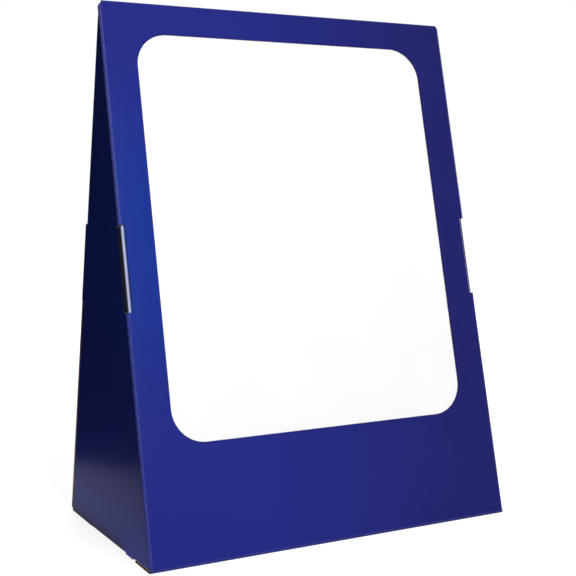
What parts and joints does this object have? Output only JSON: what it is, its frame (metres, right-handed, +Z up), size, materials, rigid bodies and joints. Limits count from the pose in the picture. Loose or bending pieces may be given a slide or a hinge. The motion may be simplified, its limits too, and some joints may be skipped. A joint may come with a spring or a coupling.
{
  "type": "tabletop chart stand",
  "caption": "Fold-flat A-frame stand in printed corrugated board, with a rounded window in its front over a white writing board.",
  "frame": {"origin": "on the table, under the middle of the standing stand", "axes": "+Z up, the window faces -Y, +X to the right of someone facing the window"},
  "size_m": [0.457, 0.2704, 0.604],
  "materials": {
    "printed_blue": "deep blue flood print with a satin varnish on the outer liner",
    "kraft_liner": "raw brown kraft liner",
    "fluting_paper": "raw brown fluting medium",
    "white_paper": "smooth white coated paper, wipe-clean on the face",
    "white_foam": "fine-celled white foam, cut edge"
  },
  "bodies": {
    "front": {"front_printed_liner": "printed_blue", "front_fluting": "fluting_paper", "front_inner_liner": "kraft_liner", "chart_board_face": "white_paper", "chart_board_foam": "white_foam", "chart_board_backing": "white_paper", "left_crease_lower": "printed_blue", "left_crease_upper": "printed_blue", "right_crease_lower": "printed_blue", "right_crease_upper": "printed_blue", "ridge_crease": "printed_blue", "front_floor_crease": "printed_blue"},
    "back": {"back_printed_liner": "printed_blue", "back_fluting": "fluting_paper", "back_inner_liner": "kraft_liner", "back_floor_crease": "printed_blue"},
    "left_side": {"left_side_printed_liner": "printed_blue", "left_side_fluting": "fluting_paper", "left_side_inner_liner": "kraft_liner"},
    "right_side": {"right_side_printed_liner": "printed_blue", "right_side_fluting": "fluting_paper", "right_side_inner_liner": "kraft_liner"},
    "front_flap": {"front_flap_printed_liner": "printed_blue", "front_flap_fluting": "fluting_paper", "front_flap_inner_liner": "kraft_liner"},
    "back_flap": {"back_flap_printed_liner": "printed_blue", "back_flap_fluting": "fluting_paper", "back_flap_inner_liner": "kraft_liner"}
  },
  "joints": [
    {"name": "ridge_fold", "type": "hinge", "parent": "front", "child": "back", "pos_m": [0, 0, 0.6028], "axis": [1, 0, 0], "range_deg": [0, 154.7], "deforming": ["ridge_crease"]},
    {"name": "left_side_fold", "type": "hinge", "parent": "front", "child": "left_side", "pos_m": [-0.2253, -0.06338, 0.31013], "axis": [0, 0.2182, 0.9759], "range_deg": [0, 90], "deforming": ["left_crease_lower", "left_crease_upper"]},
    {"name": "right_side_fold", "type": "hinge", "parent": "front", "child": "right_side", "pos_m": [0.2253, -0.06338, 0.31013], "axis": [0, -0.2182, -0.9759], "range_deg": [0, 90], "deforming": ["right_crease_lower", "right_crease_upper"]},
    {"name": "front_flap_fold", "type": "hinge", "parent": "front", "child": "front_flap", "pos_m": [0, -0.13201, 0.0032], "axis": [-1, 0, 0], "range_deg": [0, 102.5], "deforming": ["front_floor_crease"]},
    {"name": "back_flap_fold", "type": "hinge", "parent": "back", "child": "back_flap", "pos_m": [0, 0.13201, 0.0032], "axis": [1, 0, 0], "range_deg": [0, 102.5], "deforming": ["back_floor_crease"]}
  ]
}
